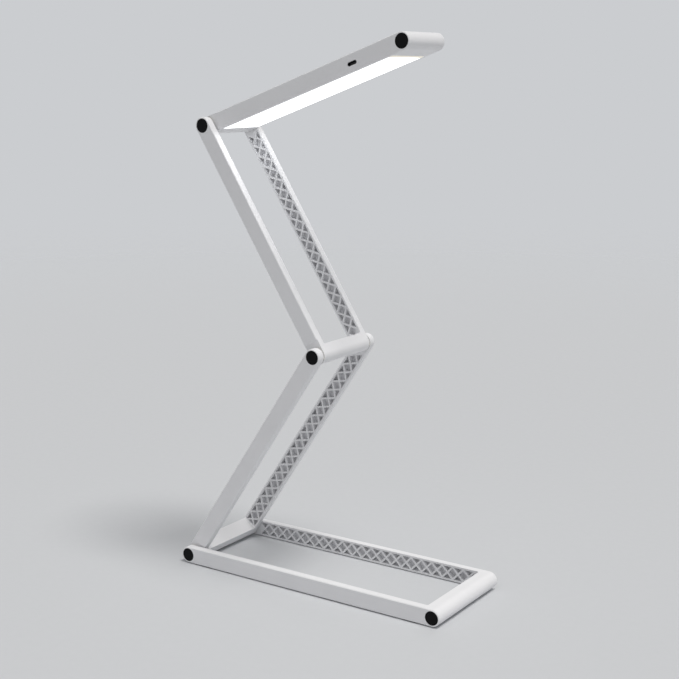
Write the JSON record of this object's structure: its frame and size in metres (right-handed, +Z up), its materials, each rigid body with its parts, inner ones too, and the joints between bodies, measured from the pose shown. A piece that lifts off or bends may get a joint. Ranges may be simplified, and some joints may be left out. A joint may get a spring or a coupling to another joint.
{
  "type": "folding desk lamp",
  "caption": "Rechargeable desk lamp whose base, two open frame arms and flat light head fold inside one another on friction hinges.",
  "frame": {"origin": "on the table, under the centre of the base frame", "axes": "+Z up; +X along the base from hinge A towards its crossbar; hinge axes along Y"},
  "size_m": [0.222, 0.0832, 0.3863],
  "materials": {
    "frame_white": "satin moulded ABS",
    "cap_black": "matte moulded plastic",
    "pad_rubber": "soft silicone",
    "bolt_steel": "zinc plated",
    "friction_nylon": "natural nylon",
    "diffuser_opal": "opal, lit from behind",
    "guide_acrylic": "clear, polished edges",
    "reflector_white": "white film",
    "strip_flex": "white flexible circuit",
    "chip_yellow": "phosphor",
    "plate_aluminium": "mill finish",
    "cell_foil": "aluminium laminate pouch",
    "pad_foam": "closed-cell foam",
    "board_green": "glass-epoxy laminate",
    "port_steel": "pressed shell",
    "electrode_foam": "conductive foam",
    "tab_nickel": "nickel strip"
  },
  "bodies": {
    "base": {"base_frame": "frame_white", "foot_pads": "pad_rubber", "base_caps": "cap_black"},
    "lower_arm": {"lower_arm_frame": "frame_white", "lower_arm_caps": "cap_black", "hinge_bolt_a": "bolt_steel", "lock_nut_a": "bolt_steel", "friction_pads_a": "friction_nylon"},
    "upper_arm": {"upper_arm_frame": "frame_white", "upper_arm_caps": "cap_black", "hinge_bolt_b": "bolt_steel", "lock_nut_b": "bolt_steel", "friction_pads_b": "friction_nylon"},
    "lamp_head": {"head_housing": "frame_white", "head_caps": "cap_black", "hinge_bolt_c": "bolt_steel", "lock_nut_c": "bolt_steel", "friction_pads_c": "friction_nylon", "diffuser": "diffuser_opal", "chassis_plate": "plate_aluminium", "light_guide": "guide_acrylic", "reflector_sheet": "reflector_white", "light_strips": "strip_flex", "light_chips": "chip_yellow", "battery_cell": "cell_foil", "battery_pad": "pad_foam", "board_pad": "pad_foam", "control_board": "board_green", "touch_electrode": "electrode_foam", "battery_tabs": "tab_nickel", "charging_port": "port_steel"}
  },
  "joints": [
    {"name": "base_hinge", "type": "hinge", "parent": "base", "child": "lower_arm", "pos_m": [-0.105, 0, 0.0066], "axis": [0, -1, 0], "range_deg": [-52.1, 123.9]},
    {"name": "middle_hinge", "type": "hinge", "parent": "lower_arm", "child": "upper_arm", "pos_m": [0.0046, 0, 0.1697], "axis": [0, 1, 0], "range_deg": [-109.6, 66.4]},
    {"name": "head_hinge", "type": "hinge", "parent": "upper_arm", "child": "lamp_head", "pos_m": [-0.09373, 0, 0.32404], "axis": [0, -1, 0], "range_deg": [-76.9, 103.1]}
  ]
}
